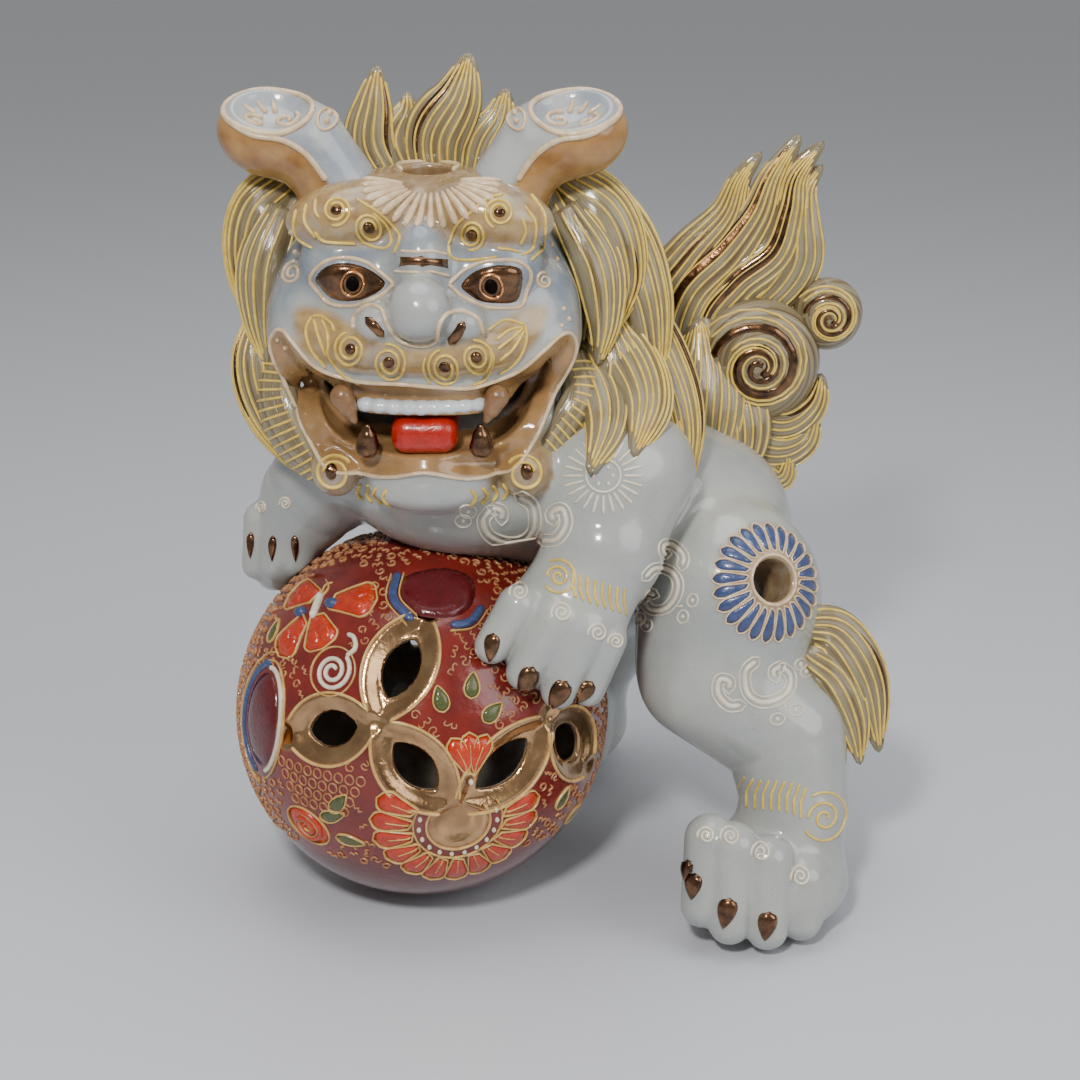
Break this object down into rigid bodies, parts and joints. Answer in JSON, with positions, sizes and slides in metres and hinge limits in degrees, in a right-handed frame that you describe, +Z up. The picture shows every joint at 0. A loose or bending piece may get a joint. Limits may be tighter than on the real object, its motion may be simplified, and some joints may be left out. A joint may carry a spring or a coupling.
{
  "type": "foo dog statue",
  "caption": "Porcelain guardian lion with its forepaws on an openwork ball, built from hollow slip-cast pieces with raised enamel decoration.",
  "frame": {"origin": "on the standing surface, at the middle of the ball's flat foot", "axes": "+Z up, -Y the way the face looks, +X towards the lion's own left side"},
  "size_m": [0.1887, 0.1517, 0.241],
  "materials": {
    "white_glaze": "glossy cool grey-white porcelain glaze with faint brown in the creases",
    "red_glaze": "glossy brick-red and maroon enamel over porcelain",
    "hair_glaze": "glossy tan-brown glaze with yellow raised enamel lines and lustre stripes",
    "tongue_glaze": "glossy orange-red enamel",
    "gold_lustre": "bronze-gold lustre fired on the glaze"
  },
  "bodies": {
    "root": {"ball_lower_half": "red_glaze", "ball_upper_half": "red_glaze", "head_shell": "white_glaze", "torso_shell": "white_glaze", "hind_leg_left": "white_glaze", "hind_leg_right": "white_glaze", "foreleg_left": "white_glaze", "foreleg_right": "white_glaze", "ear_right": "white_glaze", "ear_left": "white_glaze", "tail_scroll_large": "hair_glaze", "tail_scroll_small": "hair_glaze", "crest_flame_tall": "hair_glaze", "crest_flame_short": "hair_glaze", "crest_flame_low": "hair_glaze", "mane_right": "hair_glaze", "mane_left": "hair_glaze", "mane_cape": "hair_glaze", "mane_back": "hair_glaze", "tail_root": "hair_glaze", "tail_plume": "hair_glaze", "tail_lower_lock": "hair_glaze", "hock_tuft_left": "hair_glaze", "hock_tuft_right": "hair_glaze", "tongue": "tongue_glaze", "upper_teeth": "white_glaze", "lower_fang_right": "gold_lustre", "lower_fang_left": "gold_lustre", "upper_fang_right": "gold_lustre", "upper_fang_left": "gold_lustre"}
  },
  "joints": []
}
